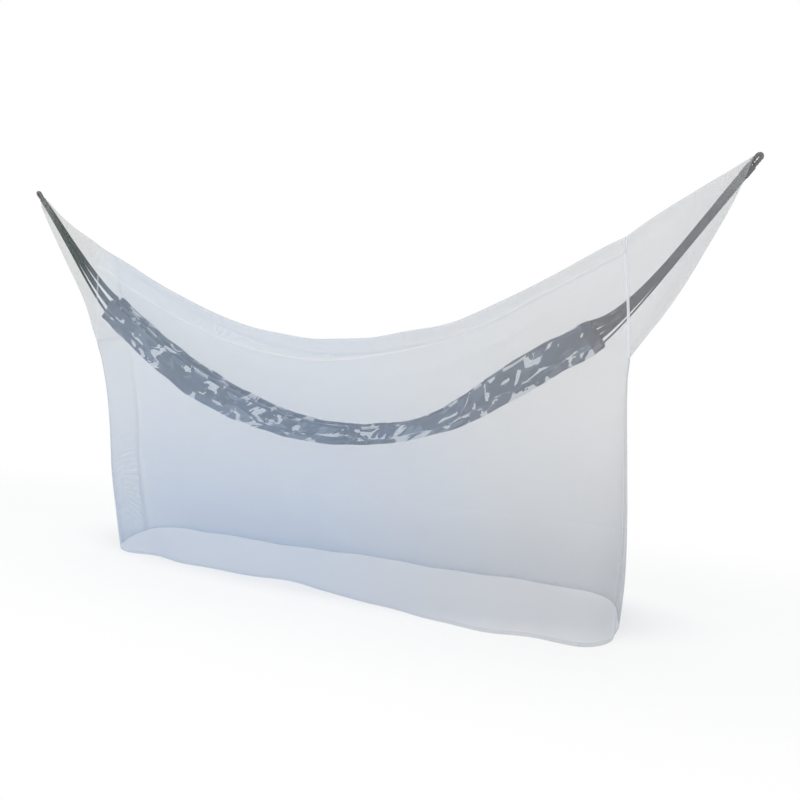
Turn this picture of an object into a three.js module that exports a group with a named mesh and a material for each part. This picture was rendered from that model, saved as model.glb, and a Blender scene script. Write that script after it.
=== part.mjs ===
// A hammock mosquito net hung over its gathered hammock, between two rope eyes.
// Millimetres, +Z up. X runs from eye to eye, Y through the net, and the hem is at Z = 0.
import * as THREE from 'three';

const { lerp, clamp, degToRad } = THREE.MathUtils;

// ---- driving dimensions ----

const clothThickness = 2;
const seamGap = 0.3; // between two pieces that are sewn or pressed together

// The body of the net is a long tent. Its stations run from -bodyHalf to +bodyHalf.
const bodyHalf = 1330;
const elbowShare = 0.74; // of the roof seam's height, where the sleeves leave the body
const roofArc = degToRad(82); // the roof strip bends this far down on each side of the ridge
const flare = 1.35; // how soon a side leans out below the roof seam
const cornerLength = 150; // stretch of a side that turns in towards its end panel
const endBow = 14; // how far an end panel bellies out at the hem
const hemInset = 0.3; // its edges keep this much further in at the hem, where it bellies out

// The ridge: its height, and the roof strip's half width and drop, at stations along the body.
const ridgeRows = [
  { station: -1330, ridge: 1617, half: 72, drop: 70 },
  { station: -1050, ridge: 1482, half: 84, drop: 88 },
  { station: -800, ridge: 1364, half: 90, drop: 88 },
  { station: -560, ridge: 1277, half: 92, drop: 92 },
  { station: -330, ridge: 1223, half: 92, drop: 97 },
  { station: -30, ridge: 1198, half: 92, drop: 100 },
  { station: 300, ridge: 1229, half: 92, drop: 90 },
  { station: 660, ridge: 1319, half: 90, drop: 80 },
  { station: 1020, ridge: 1492, half: 82, drop: 70 },
  { station: 1330, ridge: 1645, half: 72, drop: 66 },
];

// The hem as it lies on the floor: how far each side stands out from the middle plane.
const hemRows = [
  { station: -1330, front: 158, back: 196 },
  { station: -1050, front: 170, back: 205 },
  { station: -760, front: 184, back: 214 },
  { station: -480, front: 181, back: 200 },
  { station: -120, front: 183, back: 216 },
  { station: 170, front: 226, back: 224 },
  { station: 430, front: 268, back: 208 },
  { station: 680, front: 298, back: 226 },
  { station: 900, front: 280, back: 232 },
  { station: 1110, front: 286, back: 218 },
  { station: 1330, front: 282, back: 206 },
];
const cornerPull = { left: 92, right: 132 }; // how far the hem turns in at each end

// How far out each end stands, as a share of bodyHalf, at heights above the floor.
const endRows = [
  { height: 0, left: 0.996, right: 1.02 },
  { height: 235, left: 1.004, right: 1.028 },
  { height: 443, left: 1.007, right: 1.029 },
  { height: 700, left: 0.993, right: 1.021 },
  { height: 900, left: 0.99, right: 1.013 },
  { height: 1060, left: 0.999, right: 1.009 },
  { height: 1170, left: 1.012, right: 1.013 },
  { height: 1411, left: 0.999, right: 0.999 },
  { height: 1652, left: 0.979, right: 0.979 },
];

// A sleeve's sections between the body seam and its mouth: the top and low points of each one, its half
// depth as a share of the body's, and how far it has turned from the body's outline to a round one.
const leftSleeveRows = [
  { topX: 1390, topZ: 1669, lowX: 1413, lowZ: 1300, share: 0.86, round: 0.3 },
  { topX: 1470, topZ: 1718, lowX: 1492, lowZ: 1428, share: 0.7, round: 0.6 },
  { topX: 1550, topZ: 1772, lowX: 1566, lowZ: 1545, share: 0.54, round: 0.85 },
  { topX: 1630, topZ: 1831, lowX: 1640, lowZ: 1680, share: 0.36, round: 1 },
];
const rightSleeveRows = [
  { topX: 1400, topZ: 1712, lowX: 1408, lowZ: 1258, share: 0.86, round: 0.3 },
  { topX: 1496, topZ: 1777, lowX: 1478, lowZ: 1362, share: 0.7, round: 0.6 },
  { topX: 1584, topZ: 1835, lowX: 1548, lowZ: 1488, share: 0.54, round: 0.85 },
  { topX: 1664, topZ: 1883, lowX: 1616, lowZ: 1632, share: 0.4, round: 1 },
];

// The gathered hammock: the middle of the bundle, and its height and depth, along its sag.
const bedRows = [
  { x: -1302, z: 1335, tall: 112, deep: 0.84 },
  { x: -1190, z: 1240, tall: 124, deep: 0.9 },
  { x: -950, z: 1062, tall: 138, deep: 0.98 },
  { x: -710, z: 921, tall: 142, deep: 1 },
  { x: -470, z: 828, tall: 126, deep: 1 },
  { x: -240, z: 766, tall: 106, deep: 1 },
  { x: 0, z: 741, tall: 88, deep: 1 },
  { x: 250, z: 757, tall: 82, deep: 0.96 },
  { x: 450, z: 802, tall: 86, deep: 0.92 },
  { x: 620, z: 881, tall: 108, deep: 0.96 },
  { x: 800, z: 996, tall: 138, deep: 1 },
  { x: 1000, z: 1126, tall: 144, deep: 1 },
  { x: 1218, z: 1262, tall: 132, deep: 0.9 },
];
const bedTall = 100; // the height that foldRows are given for

// The hammock cloth runs back and forth: each row is a bend, by its depth and its height.
const foldRows = [
  { y: -61, reach: -50 },
  { y: -50, reach: 40 },
  { y: -39, reach: -43 },
  { y: -28, reach: 47 },
  { y: -17, reach: -49 },
  { y: -6, reach: 42 },
  { y: 6, reach: -45 },
  { y: 17, reach: 50 },
  { y: 28, reach: -42 },
  { y: 39, reach: 45 },
  { y: 50, reach: -48 },
  { y: 61, reach: 36 },
];
const bendHeight = 6; // height of the round part of a bend

// The eyes: a rope loop at each end, whipped to the clew cords below it.
const eyeRope = 5; // radius
const eyeLegs = 10; // half distance between the two legs of the loop
const eyeHole = 34; // length of the straight legs above the whipping
const whippingLength = 46;
const whippingWall = 3.6;
const whippingRoom = 0.4; // around the legs
const cordEndRadius = 2.9; // a cord group where it enters the whipping
const cordPitch = 6.1;
const ropeSides = 8;
const cordSteps = 10;

const leftEye = { x: -1757, z: 1950, rise: degToRad(55) };
const rightEye = { x: 1757, z: 1931, rise: degToRad(54) };

// Where a sleeve's mouth sits on the rope, how thick the rope is there, and how the mouth hangs.
const leftMouth = { fromTip: 72, rest: 19.2, lowX: 1738, lowZ: 1875, halfDepth: 18 };
const rightMouth = { fromTip: 20, rest: 15, lowX: 1690, lowZ: 1795, halfDepth: 30 };

// How much of their spread at the cloth the cord groups keep above it.
const cordFan = { left: 0.95, right: 0.5 };

// The cord groups, from the upper one to the lower one: where each meets the gathered cloth,
// across it and up it from its middle, its radius there, and how far it sags on the way.
const leftCordRows = [
  { depth: -11, height: 40, radius: 8, sag: 0 },
  { depth: 22, height: 22, radius: 8, sag: 2 },
  { depth: -22, height: 3, radius: 8, sag: 6 },
  { depth: 11, height: -18, radius: 8, sag: 8 },
  { depth: -11, height: -40, radius: 4.5, sag: 12 },
];
const rightCordRows = [
  { depth: -11, height: 38, radius: 7.5, sag: 0 },
  { depth: 22, height: 21, radius: 8, sag: 4 },
  { depth: -22, height: 3, radius: 8, sag: 6 },
  { depth: 11, height: -15, radius: 7, sag: 8 },
  { depth: 0, height: -33, radius: 3, sag: 14 },
];

// ---- materials ----

const matt = { roughness: 0.85, metalness: 0 };
const netCloth = new THREE.MeshStandardMaterial({ color: 0xd3dde8, name: 'net', ...matt });
const bedCloth = new THREE.MeshStandardMaterial({ color: 0x6d7b8c, name: 'camouflage', ...matt });
const cordYarn = new THREE.MeshStandardMaterial({ color: 0x6c7278, name: 'cord', ...matt });

// ---- helpers ----

const steps = (count) => Array.from({ length: count + 1 }, (_, i) => i / count);
const quad = (a, b, c, d) => [a, b, c, a, c, d];

// A smooth value between the rows of a table.
function readRows(rows, key, at, column) {
  const last = rows.length - 1;
  let i = 0;
  while (i < last - 1 && at > rows[i + 1][key]) i += 1;
  const slope = (k) => {
    const before = rows[Math.max(k - 1, 0)];
    const after = rows[Math.min(k + 1, last)];
    return (after[column] - before[column]) / (after[key] - before[key]);
  };
  const span = rows[i + 1][key] - rows[i][key];
  const t = clamp((at - rows[i][key]) / span, 0, 1);
  const start = (1 + 2 * t) * (1 - t) ** 2 * rows[i][column] + t * (1 - t) ** 2 * span * slope(i);
  const end = t ** 2 * (3 - 2 * t) * rows[i + 1][column] + t ** 2 * (t - 1) * span * slope(i + 1);
  return start + end;
}

function geometryOf(points, faces) {
  const geometry = new THREE.BufferGeometry();
  const numbers = points.flatMap((point) => point.toArray());
  geometry.setAttribute('position', new THREE.Float32BufferAttribute(numbers, 3));
  geometry.setIndex(faces.flat());
  geometry.computeVertexNormals();
  return geometry;
}

// Which way a surface faces, averaged over both sides of a crease that runs along v.
function facing(surface, u, v, closed) {
  const probe = 1e-4;
  const here = surface(u, v);
  const alongV = surface(u, Math.min(v + probe, 1)).sub(surface(u, Math.max(v - probe, 0)));
  const sum = new THREE.Vector3();
  for (const side of [-1, 1]) {
    const beside = u + side * probe;
    if (closed || (beside >= 0 && beside <= 1)) {
      const alongU = surface(closed ? (beside + 1) % 1 : beside, v).sub(here).multiplyScalar(side);
      sum.add(alongU.cross(alongV).normalize());
    }
  }
  return sum.normalize();
}

// A closed sheet of cloth around a surface(u, v), with u and v from 0 to 1. A closed one joins its two
// u edges. square may turn the cloth's thickness at an edge, so that the edge's own face is flat.
function sheet(surface, us, vs, { closed = false, square = (u, v, normal) => normal } = {}) {
  const points = [];
  for (const side of [1, -1]) {
    for (const v of vs) {
      for (const u of us) {
        const normal = square(u, v, facing(surface, u, v, closed)).normalize();
        points.push(surface(u, v).addScaledVector(normal, (side * clothThickness) / 2));
      }
    }
  }
  const columns = us.length;
  const top = (i, j) => j * columns + (i % columns);
  const under = (i, j) => top(i, j) + columns * vs.length;
  const lastU = closed ? columns : columns - 1;
  const lastV = vs.length - 1;
  const faces = [];
  for (let i = 0; i < lastU; i += 1) {
    for (let j = 0; j < lastV; j += 1) {
      faces.push(quad(top(i, j), top(i + 1, j), top(i + 1, j + 1), top(i, j + 1)));
      faces.push(quad(under(i, j), under(i, j + 1), under(i + 1, j + 1), under(i + 1, j)));
    }
    faces.push(quad(under(i, 0), under(i + 1, 0), top(i + 1, 0), top(i, 0)));
    faces.push(quad(top(i, lastV), top(i + 1, lastV), under(i + 1, lastV), under(i, lastV)));
  }
  for (let j = 0; !closed && j < lastV; j += 1) {
    faces.push(quad(under(0, j + 1), under(0, j), top(0, j), top(0, j + 1)));
    faces.push(quad(under(lastU, j), under(lastU, j + 1), top(lastU, j + 1), top(lastU, j)));
  }
  return geometryOf(points, faces);
}

const acrossNet = new THREE.Vector3(0, 1, 0);

// A round rope through a list of stops, each with its centre, direction and radius.
function rope(stops) {
  const points = [];
  for (const { centre, along, radius } of stops) {
    const sideways = along.clone().cross(acrossNet).normalize();
    const upright = sideways.clone().cross(along);
    for (let i = 0; i < ropeSides; i += 1) {
      const angle = (2 * Math.PI * (i + 0.5)) / ropeSides;
      const point = centre.clone().addScaledVector(sideways, radius * Math.cos(angle));
      points.push(point.addScaledVector(upright, radius * Math.sin(angle)));
    }
  }
  const last = stops.length - 1;
  const at = (i, j) => j * ropeSides + (i % ropeSides);
  const faces = [];
  for (let i = 0; i < ropeSides; i += 1) {
    for (let j = 0; j < last; j += 1) {
      faces.push(quad(at(i, j), at(i, j + 1), at(i + 1, j + 1), at(i + 1, j)));
    }
  }
  for (let i = 1; i < ropeSides - 1; i += 1) {
    faces.push([at(0, 0), at(i, 0), at(i + 1, 0)]);
    faces.push([at(0, last), at(i + 1, last), at(i, last)]);
  }
  return geometryOf(points, faces);
}

// ---- the body of the net ----

const seamStation = bodyHalf - seamGap / 2; // where the body's pieces end beside a sleeve or an end panel
const stationAt = (share) => lerp(-seamStation, seamStation, share);
const endOf = (station) => (station < 0 ? 'left' : 'right');
const bodyX = (station, height) => station * readRows(endRows, 'height', height, endOf(station));

function roofPoint(station, angle) {
  const ridge = readRows(ridgeRows, 'station', station, 'ridge');
  const drop = readRows(ridgeRows, 'station', station, 'drop');
  const half = readRows(ridgeRows, 'station', station, 'half');
  const height = ridge - drop * (1 - Math.cos(angle));
  return new THREE.Vector3(bodyX(station, height), half * Math.sin(angle), height);
}

// How far a side stands out before its ends turn in. side is -1 for the front and 1 for the back,
// and share is of the height of the roof seam above.
function sideDepth(station, side, share) {
  const seamDepth = Math.abs(roofPoint(station, side * roofArc).y);
  const hemDepth = readRows(hemRows, 'station', station, side < 0 ? 'front' : 'back');
  return lerp(hemDepth, seamDepth, share ** flare);
}

// The seam between a side and an end panel runs straight down, from the sleeve's elbow to the hem.
function cornerTurn(station, side, share) {
  const along = clamp((Math.abs(station) - seamStation + cornerLength) / cornerLength, 0, 1);
  if (share > elbowShare || along === 0) return 0;
  const end = Math.sign(station) * bodyHalf;
  const pull = cornerPull[endOf(station)];
  const seam = lerp(sideDepth(end, side, 0) - pull, sideDepth(end, side, elbowShare), share / elbowShare);
  return (sideDepth(end, side, share) - seam) * (1 - Math.sqrt(1 - along ** 2));
}

function sidePoint(station, side, share) {
  const height = roofPoint(station, side * roofArc).z * share;
  const depth = sideDepth(station, side, share) - cornerTurn(station, side, share);
  return new THREE.Vector3(bodyX(station, height), side * depth, height);
}

// Stations crowd together where the corners turn.
const cornerStations = [1, 2, 3, 4].map((k) => bodyHalf - cornerLength * (1 - Math.sin((k * Math.PI) / 8)));
const middleStations = steps(16).map((t) => lerp(-1, 1, t) * (bodyHalf - cornerLength));
const bodyStations = [...cornerStations.map((s) => -s).reverse(), ...middleStations, ...cornerStations];
const bodyShares = bodyStations.map((station) => (station + bodyHalf) / (2 * bodyHalf));

const belowElbow = steps(6).map((t) => t * elbowShare);
const aboveElbow = steps(4).slice(1).map((t) => lerp(elbowShare, 1, t));
const roofSteps = 3; // on each side of the ridge
const seamTrim = seamGap / 2 / 1300; // a side stops this share of its height below the roof seam

function sidePanel(side) {
  const surface = (u, v) => sidePoint(stationAt(u), side, v * (1 - seamTrim));
  const atSleeve = (u, v) => v >= elbowShare && (u === 0 || u === 1);
  const square = (u, v, normal) => normal.setX(atSleeve(u, v) ? 0 : normal.x).setZ(v === 0 ? 0 : normal.z);
  return sheet(surface, bodyShares, [...belowElbow, ...aboveElbow], { square });
}

function roofStrip() {
  const edgeAngle = roofArc - Math.asin(seamGap / 2 / ridgeRows[0].drop);
  const surface = (u, v) => roofPoint(stationAt(u), lerp(-1, 1, v) * edgeAngle);
  const square = (u, v, normal) => normal.setX(u === 0 || u === 1 ? 0 : normal.x);
  return sheet(surface, bodyShares, steps(2 * roofSteps), { square });
}

// An end panel hangs below its sleeve, between the front and back sides.
function endPanel(end) {
  const surface = (u, v) => {
    const front = sidePoint(end * bodyHalf, -1, v);
    const back = sidePoint(end * bodyHalf, 1, v);
    const inset = seamGap + lerp(hemInset, clothThickness / 2, v / elbowShare);
    const y = lerp(front.y + inset, back.y - inset, u);
    const bow = endBow * Math.sin(Math.PI * u) * Math.max(1 - v / elbowShare, 0) ** 0.6;
    const below = v === elbowShare ? inset : 0;
    return new THREE.Vector3(front.x + end * bow, y, front.z - below);
  };
  const square = (u, v, normal) => normal.setZ(v === 0 || v === elbowShare ? 0 : normal.z);
  return sheet(surface, steps(6), belowElbow, { square });
}

// ---- the eyes and their whippings ----

// The line that an eye's rope follows: from its bend at the tip, down through the whipping.
function eyeLine(eye) {
  const end = Math.sign(eye.x);
  const outward = new THREE.Vector3(end * Math.cos(eye.rise), 0, Math.sin(eye.rise));
  const upward = new THREE.Vector3(-end * Math.sin(eye.rise), 0, Math.cos(eye.rise));
  const tip = new THREE.Vector3(eye.x, 0, eye.z);
  const bend = -eyeRope - eyeLegs;
  const joint = bend - eyeHole - whippingLength / 2; // where the loop's legs meet the clew cords
  const place = (along, up) => tip.clone().addScaledVector(outward, along).addScaledVector(upward, up);
  return { end, outward, upward, bend, joint, place };
}

function eyeLoop(eye) {
  const { outward, upward, bend, joint, place } = eyeLine(eye);
  const leg = (side) => ({
    centre: place(joint + seamGap / 2, side * eyeLegs),
    along: outward.clone().multiplyScalar(side),
    radius: eyeRope,
  });
  const turn = steps(8).map((t) => {
    const angle = Math.PI * t;
    const centre = place(bend + eyeLegs * Math.sin(angle), eyeLegs * Math.cos(angle));
    const along = outward.clone().multiplyScalar(Math.cos(angle)).addScaledVector(upward, -Math.sin(angle));
    return { centre, along, radius: eyeRope };
  });
  return rope([leg(1), ...turn, leg(-1)]);
}

// A stadium outline around the two legs, so far from their centres.
function legsOutline(Outline, radius) {
  const outline = new Outline();
  outline.absarc(eyeLegs, 0, radius, -Math.PI / 2, Math.PI / 2, false);
  outline.absarc(-eyeLegs, 0, radius, Math.PI / 2, (3 * Math.PI) / 2, false);
  outline.closePath();
  return outline;
}

function whipping(eye) {
  const { outward, upward, joint, place } = eyeLine(eye);
  const outline = legsOutline(THREE.Shape, eyeRope + whippingRoom + whippingWall);
  outline.holes.push(legsOutline(THREE.Path, eyeRope + whippingRoom));
  const shape = { depth: whippingLength, bevelEnabled: false, curveSegments: 8 };
  const geometry = new THREE.ExtrudeGeometry(outline, shape);
  const turn = new THREE.Matrix4().makeBasis(upward, outward.clone().cross(upward), outward);
  return geometry.applyMatrix4(turn.setPosition(place(joint - whippingLength / 2, 0)));
}

// ---- the sleeves ----

const bodyCorner = 0.09; // shares of a sleeve's way round at which it passes the body's low corner
const bodySeam = 0.36; // and its roof seam

// The body's outline at a sleeve, as a depth and a height, by the share of the way round from its low side.
function bodyOutline(end, around) {
  const side = around < 0.5 ? -1 : 1;
  const way = 0.5 - Math.abs(around - 0.5);
  const station = end * bodyHalf;
  const seam = roofPoint(station, side * roofArc);
  if (way > bodySeam) {
    const point = roofPoint(station, side * roofArc * (1 - (way - bodySeam) / (0.5 - bodySeam)));
    return { y: point.y, z: point.z };
  }
  const share = lerp(elbowShare, 1, clamp((way - bodyCorner) / (bodySeam - bodyCorner), 0, 1));
  return { y: sidePoint(station, side, share).y * Math.min(way / bodyCorner, 1), z: seam.z * share };
}

function sleeve(eye, rows, mouth) {
  const end = Math.sign(eye.x);
  const ridge = roofPoint(end * bodyHalf, 0).z;
  const elbow = bodyOutline(end, 0).z;
  const widest = Math.abs(bodyOutline(end, bodyCorner).y);
  const onBody = (height) => Math.abs(bodyX(end * bodyHalf, height)) + seamGap / 2;
  const atBody = { topX: onBody(ridge), topZ: ridge, lowX: onBody(elbow), lowZ: elbow, share: 1, round: 0 };
  const sections = [atBody, ...rows, mouthRow(eye, mouth, widest)];
  sections.forEach((row, i) => { row.way = i / (sections.length - 1); });
  const surface = (u, v) => {
    const read = (column) => readRows(sections, 'way', v, column);
    const body = bodyOutline(end, u);
    const bodyUp = (body.z - elbow) / (ridge - elbow);
    const up = lerp(bodyUp, (1 - Math.cos(2 * Math.PI * u)) / 2, read('round'));
    const depth = lerp(body.y, -widest * Math.sin(2 * Math.PI * u), read('round')) * read('share');
    const toSeam = onBody(body.z) - lerp(atBody.lowX, atBody.topX, bodyUp);
    const x = lerp(read('lowX'), read('topX'), up) + toSeam * (1 - v) ** 2;
    return new THREE.Vector3(end * x, depth, lerp(read('lowZ'), read('topZ'), up));
  };
  const rise = steps(aboveElbow.length).map((t) => lerp(bodyCorner, bodySeam, t));
  const over = steps(roofSteps).slice(1).map((t) => lerp(bodySeam, 0.5, t));
  const half = [0, ...rise, ...over];
  const round = [...half, ...half.slice(1, -1).map((share) => 1 - share).reverse()];
  const square = (u, v, normal) => (v === 0 ? normal.setX(0) : normal);
  return sheet(surface, round, steps(10), { closed: true, square });
}

// The top of a mouth rests on the rope, and its low side hangs below.
function mouthRow(eye, mouth, widest) {
  const top = eyeLine(eye).place(-mouth.fromTip, mouth.rest + seamGap + clothThickness / 2);
  const section = { topX: Math.abs(top.x), topZ: top.z, lowX: mouth.lowX, lowZ: mouth.lowZ };
  return { ...section, share: mouth.halfDepth / widest, round: 1 };
}

// ---- the hammock ----

// Across the gathered cloth, from one selvedge to the other: each bend is rounded by its neighbours.
const foldPath = foldRows.flatMap((row, i) => {
  const shoulder = row.reach - Math.sign(row.reach) * bendHeight;
  const towards = (other) => (other ? [{ y: (row.y + other.y) / 2, up: shoulder }] : []);
  return [...towards(foldRows[i - 1]), { y: row.y, up: row.reach }, ...towards(foldRows[i + 1])];
});

// The middle of the bundle at a share of its length, with the directions along it and up across it.
function bedFrame(share) {
  const ends = [bedRows[0].x, bedRows[bedRows.length - 1].x];
  const x = lerp(ends[0], ends[1], share);
  const height = (at) => readRows(bedRows, 'x', clamp(at, ends[0], ends[1]), 'z');
  const reach = 2;
  const from = Math.max(x - reach, ends[0]);
  const to = Math.min(x + reach, ends[1]);
  const along = new THREE.Vector3(to - from, 0, height(to) - height(from)).normalize();
  const up = along.clone().cross(acrossNet);
  const tall = readRows(bedRows, 'x', x, 'tall') / bedTall;
  const deep = readRows(bedRows, 'x', x, 'deep');
  const place = (y, high) => new THREE.Vector3(x, y * deep, height(x)).addScaledVector(up, high * tall);
  return { along, place };
}

function bed() {
  const last = foldPath.length - 1;
  const surface = (u, v) => {
    const i = Math.min(Math.floor(u * last), last - 1);
    const [from, to] = [foldPath[i], foldPath[i + 1]];
    const part = u * last - i;
    return bedFrame(v).place(lerp(from.y, to.y, part), lerp(from.up, to.up, part));
  };
  const square = (u, v, normal) => (v === 0 || v === 1 ? normal.projectOnPlane(bedFrame(v).along) : normal);
  return sheet(surface, steps(last), steps(19), { square });
}

// Each cord group runs taut from its whipping to the end of the gathered cloth.
const eyeHandle = 0.3; // how long a cord keeps each end's direction, as shares of its length
const bedHandle = 0.2;

function clewCord(eye, row, order) {
  const fan = cordFan[endOf(eye.x)];
  const { end, outward, joint, place } = eyeLine(eye);
  const cloth = bedFrame(end < 0 ? 0 : 1);
  const outOfBed = cloth.along.clone().multiplyScalar(end);
  const top = place(joint - seamGap / 2, order * cordPitch);
  const from = top.clone().addScaledVector(outward, -whippingLength / 2);
  const to = cloth.place(row.depth, row.height).addScaledVector(outOfBed, seamGap);
  const length = from.distanceTo(to);
  const fromHandle = from.clone().addScaledVector(outward, -eyeHandle * length);
  const toHandle = cloth.place(row.depth * fan, row.height * fan);
  toHandle.addScaledVector(outOfBed, bedHandle * length);
  toHandle.z -= row.sag;
  const curve = new THREE.CubicBezierCurve3(from, fromHandle, toHandle, to);
  const stops = steps(cordSteps).map((t) => ({
    centre: curve.getPointAt(t),
    along: t < 1 ? curve.getTangentAt(t) : outOfBed.clone().negate(),
    radius: lerp(cordEndRadius, row.radius, t ** 2),
  }));
  return rope([{ centre: top, along: outward.clone().negate(), radius: cordEndRadius }, ...stops]);
}

// ---- the whole object ----

function piece(name, geometry, material) {
  const mesh = new THREE.Mesh(geometry, material);
  mesh.name = name;
  return mesh;
}

const net = new THREE.Group();
net.add(piece('net_front_panel', sidePanel(-1), netCloth));
net.add(piece('net_back_panel', sidePanel(1), netCloth));
net.add(piece('net_roof_strip', roofStrip(), netCloth));
net.add(piece('net_left_end_panel', endPanel(-1), netCloth));
net.add(piece('net_right_end_panel', endPanel(1), netCloth));
net.add(piece('net_left_sleeve', sleeve(leftEye, leftSleeveRows, leftMouth), netCloth));
net.add(piece('net_right_sleeve', sleeve(rightEye, rightSleeveRows, rightMouth), netCloth));

const hammock = new THREE.Group();
hammock.add(piece('hammock_bed', bed(), bedCloth));
for (const [side, eye, rows] of [['left', leftEye, leftCordRows], ['right', rightEye, rightCordRows]]) {
  hammock.add(piece(`${side}_eye_loop`, eyeLoop(eye), cordYarn));
  hammock.add(piece(`${side}_eye_whipping`, whipping(eye), cordYarn));
  rows.forEach((row, i) => {
    const order = (rows.length - 1) / 2 - i;
    hammock.add(piece(`${side}_clew_cord_${i + 1}`, clewCord(eye, row, order), cordYarn));
  });
}

const model = new THREE.Group();
model.add(net, hammock);
const bounds = new THREE.Box3().setFromObject(model, true);
model.position.set(-(bounds.min.x + bounds.max.x) / 2, -(bounds.min.y + bounds.max.y) / 2, -bounds.min.z);

export default model;
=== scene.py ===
import math

import bpy
import numpy as np
from mathutils import Matrix, Vector


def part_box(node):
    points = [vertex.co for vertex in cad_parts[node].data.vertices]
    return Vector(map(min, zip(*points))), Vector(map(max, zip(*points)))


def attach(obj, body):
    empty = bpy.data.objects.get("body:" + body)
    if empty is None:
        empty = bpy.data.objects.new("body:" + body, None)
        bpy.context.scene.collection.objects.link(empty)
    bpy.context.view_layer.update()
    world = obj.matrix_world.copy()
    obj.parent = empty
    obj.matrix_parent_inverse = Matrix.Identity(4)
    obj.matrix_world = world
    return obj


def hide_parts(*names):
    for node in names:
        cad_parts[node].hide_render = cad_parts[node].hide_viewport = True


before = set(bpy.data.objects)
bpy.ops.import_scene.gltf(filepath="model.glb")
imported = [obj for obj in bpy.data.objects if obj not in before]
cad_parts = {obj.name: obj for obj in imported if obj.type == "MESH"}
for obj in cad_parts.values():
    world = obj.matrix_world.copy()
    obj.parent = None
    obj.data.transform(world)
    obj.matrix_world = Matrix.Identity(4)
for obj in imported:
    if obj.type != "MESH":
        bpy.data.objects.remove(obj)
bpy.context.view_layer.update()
scene = bpy.context.scene
scene.view_settings.view_transform = "Standard"
scene.cycles.transparent_max_bounces = 32  # the eye looks through many layers of net

leftLoop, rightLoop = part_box("left_eye_loop"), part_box("right_eye_loop")
middle = Vector(((leftLoop[0].x + rightLoop[1].x) / 2, (leftLoop[0].y + leftLoop[1].y) / 2, 0))
mm = 0.001  # a millimetre in metres
print("frame loaded, middle of the net at", [round(c, 5) for c in middle])


def addObject(name, data):
    obj = bpy.data.objects.new(name, data)
    scene.collection.objects.link(obj)
    return obj


# the camera stands in front of the right half and looks a little down and to the left
camera = {
    "lens": 29.52, "sensor": 36, "place": (1.3934, -2.8195, 1.535),
    "heading": 20.4, "pitch": -11.48, "roll": -0.41,
}


def addCamera():
    data = bpy.data.cameras.new("camera")
    data.lens = camera["lens"]
    data.sensor_width = camera["sensor"]
    scene.camera = addObject("camera", data)
    turn = Matrix.Rotation(math.radians(camera["heading"]), 4, "Z")
    tilt = Matrix.Rotation(math.radians(90 + camera["pitch"]), 4, "X")
    roll = Matrix.Rotation(math.radians(camera["roll"]), 4, "Z")
    scene.camera.matrix_world = Matrix.Translation(middle + Vector(camera["place"])) @ turn @ tilt @ roll


addCamera()


# reading and mixing, in millimetres until a mesh is made
def tableOf(columns, rows):
    return dict(zip(columns.split(), np.array(rows, float).T))


def readRows(rows, key, at, column):  # a smooth curve through a table's rows
    keys, values = rows[key], rows[column]
    last = len(keys) - 1
    at = np.asarray(at, float)
    i = np.clip(np.searchsorted(keys, at, side="left") - 1, 0, last - 1)
    before, after = np.maximum(np.arange(last + 1) - 1, 0), np.minimum(np.arange(last + 1) + 1, last)
    slopes = (values[after] - values[before]) / (keys[after] - keys[before])
    span = keys[i + 1] - keys[i]
    t = np.clip((at - keys[i]) / span, 0, 1)
    start = (1 + 2 * t) * (1 - t) ** 2 * values[i] + t * (1 - t) ** 2 * span * slopes[i]
    return start + t ** 2 * (3 - 2 * t) * values[i + 1] + t ** 2 * (t - 1) * span * slopes[i + 1]


def lerp(a, b, t):
    return a + (b - a) * t


def smooth(low, high, x):
    t = np.clip((x - low) / (high - low), 0, 1)
    return t * t * (3 - 2 * t)


def ripple(a, b, seed, waves=9):  # soft uneven waves about 1 high, with a and b in wavelengths
    rng = np.random.default_rng(seed)
    total = 0
    for _ in range(waves):
        angle, size, phase = rng.uniform(0, 2 * math.pi), rng.uniform(0.6, 1.7), rng.uniform(0, 2 * math.pi)
        total = total + np.sin(2 * math.pi * size * (a * math.cos(angle) + b * math.sin(angle)) + phase)
    return total / math.sqrt(waves)


def waveOf(wave, a, b, shift=0):  # a ripple from its dictionary, with a and b in the units of its wavelengths
    return ripple(a / wave["long"], b / wave["tall"], wave["seed"] + shift) * wave["size"]


def stack(x, y, z):
    return np.stack(np.broadcast_arrays(x, y, z), -1).astype(float)


def unit(v):
    return v / np.maximum(np.linalg.norm(v, axis=-1, keepdims=True), 1e-9)


def distances(points, axis=0):  # from the first point, along each line of points
    steps = np.linalg.norm(np.diff(points, axis=axis), axis=-1)
    return np.insert(np.cumsum(steps, axis=axis), 0, 0, axis=axis)


# the body of the net
body = {
    "half": 1330,
    "seamHeight": 1300,  # about how high the roof seam is
    "elbowShare": 0.74,  # of the roof seam's height, where the sleeves leave the body
    "roofArc": math.radians(82),
    "flare": 1.35,
    "cornerLength": 150,
    "cornerPull": {"left": 92, "right": 132},
    "endBow": 14,
    "seamGap": 0.3,
    "floorGap": 0.4,
    "thickness": 0.7,
}
halfGap = body["seamGap"] / 2
seamStation = body["half"] - halfGap
ridgeRows = tableOf("station ridge half drop", [
    (-1330, 1617, 72, 70), (-1050, 1482, 84, 88), (-800, 1364, 90, 88), (-560, 1277, 92, 92),
    (-330, 1223, 92, 97), (-30, 1198, 92, 100), (300, 1229, 92, 90), (660, 1319, 90, 80),
    (1020, 1492, 82, 70), (1330, 1645, 72, 66)])
hemRows = tableOf("station front back", [
    (-1330, 158, 196), (-1050, 170, 205), (-760, 184, 214), (-480, 181, 200), (-120, 183, 216),
    (170, 226, 224), (430, 268, 208), (680, 298, 226), (900, 280, 232), (1110, 286, 218), (1330, 282, 206)])
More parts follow.
